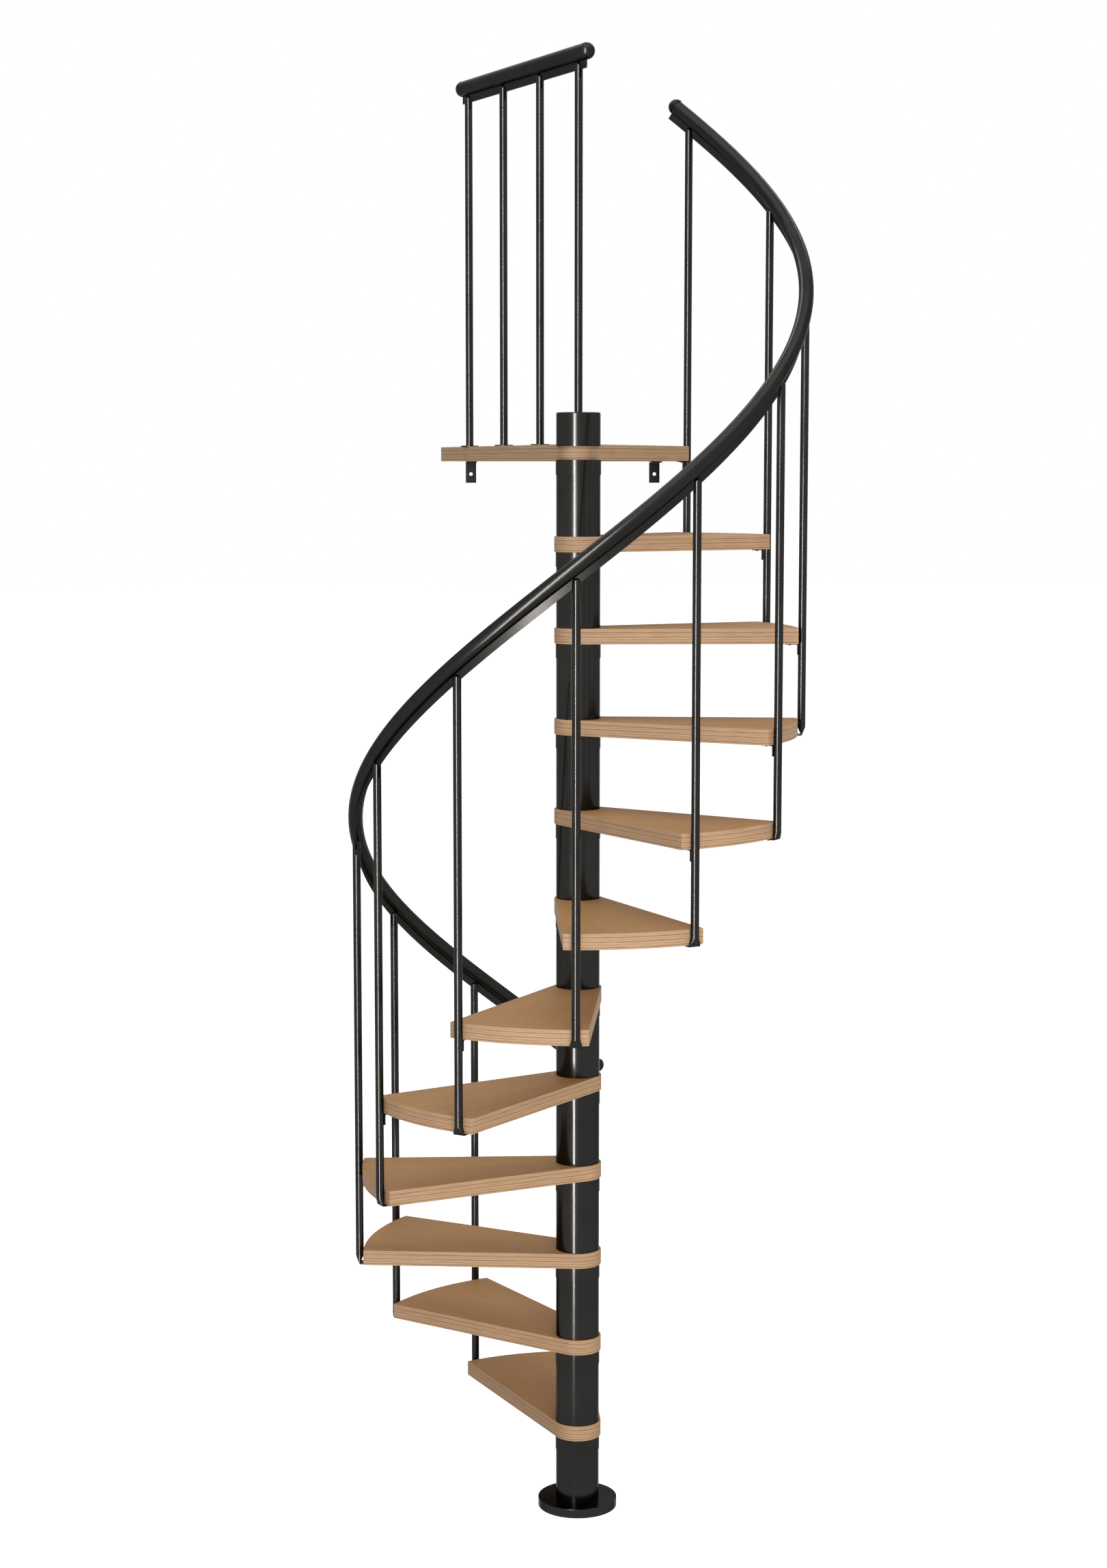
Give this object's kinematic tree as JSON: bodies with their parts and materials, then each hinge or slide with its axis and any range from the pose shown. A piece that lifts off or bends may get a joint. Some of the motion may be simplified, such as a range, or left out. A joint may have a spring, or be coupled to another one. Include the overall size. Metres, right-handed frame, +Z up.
{
  "type": "spiral staircase",
  "caption": "Narrow spiral staircase with wedge-shaped wooden treads round a steel column, crushed-foot balusters, a helical tube handrail and a wooden landing with its own straight rail.",
  "frame": {"origin": "centre of the base plate's underside, on the floor", "axes": "+Z up; +Y from the column towards the wall under the landing's back edge; the stair climbs counter-clockwise seen from above"},
  "size_m": [1.194, 1.407, 3.8207],
  "materials": {
    "black_steel": "satin",
    "bare_steel": "dull",
    "laminated_wood": "satin varnish",
    "rail_cover": "satin"
  },
  "bodies": {
    "root": {"base_plate": "black_steel", "centre_pipe": "bare_steel", "riser_tubes": "black_steel", "column_collars": "black_steel", "top_post": "black_steel", "column_cap": "black_steel", "tread_01": "laminated_wood", "tread_02": "laminated_wood", "tread_03": "laminated_wood", "tread_04": "laminated_wood", "tread_05": "laminated_wood", "tread_06": "laminated_wood", "tread_07": "laminated_wood", "tread_08": "laminated_wood", "tread_09": "laminated_wood", "tread_10": "laminated_wood", "tread_11": "laminated_wood", "landing_board": "laminated_wood", "baluster_00": "black_steel", "baluster_01": "black_steel", "baluster_02": "black_steel", "baluster_03": "black_steel", "baluster_04": "black_steel", "baluster_05": "black_steel", "baluster_06": "black_steel", "baluster_07": "black_steel", "baluster_08": "black_steel", "baluster_09": "black_steel", "baluster_10": "black_steel", "baluster_11": "black_steel", "tie_brackets": "black_steel", "handrail": "rail_cover", "handrail_strip": "black_steel", "handrail_cap_lower": "rail_cover", "handrail_cap_upper": "rail_cover", "landing_handrail": "rail_cover", "landing_strip": "black_steel", "landing_cap_front": "rail_cover", "landing_cap_back": "rail_cover", "landing_post_1": "black_steel", "landing_post_2": "black_steel", "landing_post_3": "black_steel", "landing_post_4": "black_steel", "wall_bracket_left": "black_steel", "wall_bracket_right": "black_steel"}
  },
  "joints": []
}
